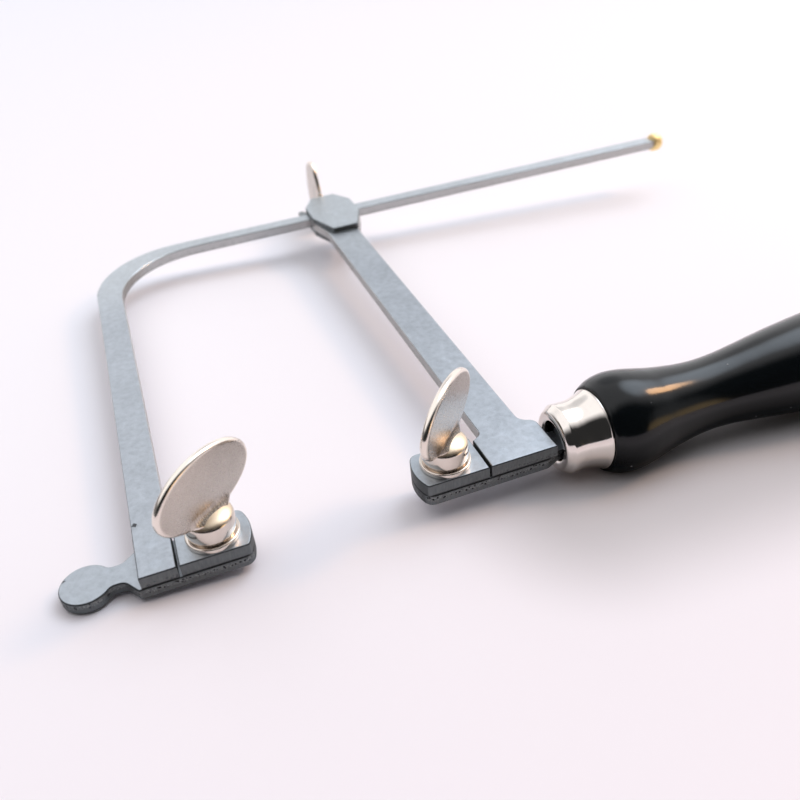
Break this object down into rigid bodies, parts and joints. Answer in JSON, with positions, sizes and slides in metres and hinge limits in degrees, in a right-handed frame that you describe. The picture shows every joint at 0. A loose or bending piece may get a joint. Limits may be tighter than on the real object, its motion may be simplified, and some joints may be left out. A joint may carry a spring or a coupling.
{
  "type": "jeweler saw frame",
  "caption": "Adjustable jeweler's saw frame: L-shaped bow, sliding rear arm on a clamped head, two blade clamps with oval thumb screws, ferruled turned handle.",
  "frame": {"origin": "on the rear clamp's screw axis, in the blade slit plane", "axes": "+X along the blade line towards the handle, +Y from the blade line towards the spine, +Z square to the frame's plane, the side the clamp screws stand on"},
  "size_m": [0.2123, 0.1706, 0.0341],
  "materials": {
    "steel_bar": "satin, fine mottled grain",
    "steel_plate": "satin, blanked edges",
    "steel_dark": "oiled, dark",
    "steel_rivet": "ground flush",
    "nickel": "bright nickel, warm",
    "nickel_wing": "satin nickel, fine grain",
    "brass": "turned",
    "lacquered_wood": "black gloss lacquer"
  },
  "bodies": {
    "handle_frame": {"handle": "lacquered_wood", "ferrule": "nickel", "rear_arm": "steel_bar", "rear_clamp_plate": "steel_plate", "rear_clamp_rivets": "steel_rivet", "slider_top_cheek": "steel_plate", "slider_bottom_cheek": "steel_plate", "slider_screw_block": "steel_plate", "slider_rivets": "steel_rivet"},
    "bow": {"bow_bar": "steel_bar", "front_clamp_plate": "steel_plate", "front_clamp_rivets": "steel_rivet", "spine_stop_screw": "brass"},
    "front_jaw": {"front_jaw_plate": "steel_plate"},
    "front_screw": {"front_screw_body": "nickel", "front_screw_wing": "nickel_wing"},
    "rear_jaw": {"rear_jaw_plate": "steel_plate"},
    "rear_screw": {"rear_screw_body": "nickel", "rear_screw_wing": "nickel_wing"},
    "shoe": {"slider_shoe": "steel_dark"},
    "slider_screw": {"slider_screw_body": "nickel", "slider_screw_wing": "nickel_wing"}
  },
  "joints": [
    {"name": "bow_slide", "type": "slide", "parent": "handle_frame", "child": "bow", "axis": [1, 0, 0], "range_m": [-0.11, 0.022]},
    {"name": "front_jaw_lift", "type": "slide", "parent": "bow", "child": "front_jaw", "axis": [0, 0, 1], "range_m": [0, 0.0014]},
    {"name": "front_screw_turn", "type": "hinge", "parent": "front_jaw", "child": "front_screw", "pos_m": [-0.0458, 0, 0], "axis": [0, 0, 1], "range_deg": [0, 720]},
    {"name": "rear_jaw_lift", "type": "slide", "parent": "handle_frame", "child": "rear_jaw", "axis": [0, 0, 1], "range_m": [0, 0.0014]},
    {"name": "rear_screw_turn", "type": "hinge", "parent": "rear_jaw", "child": "rear_screw", "pos_m": [0, 0, 0], "axis": [0, 0, 1], "range_deg": [0, 720]},
    {"name": "shoe_release", "type": "slide", "parent": "handle_frame", "child": "shoe", "axis": [0, 1, 0], "range_m": [0, 0.00105]},
    {"name": "slider_screw_turn", "type": "hinge", "parent": "shoe", "child": "slider_screw", "pos_m": [0.0152, 0.14, 0.00139], "axis": [0, 1, 0], "range_deg": [0, 540]}
  ],
  "couplings": [
    {"joint": "front_jaw_lift", "follows": "front_screw_turn", "m_per_rad": 0.00011141},
    {"joint": "rear_jaw_lift", "follows": "rear_screw_turn", "m_per_rad": 0.00011141},
    {"joint": "shoe_release", "follows": "slider_screw_turn", "m_per_rad": 0.00011141}
  ]
}
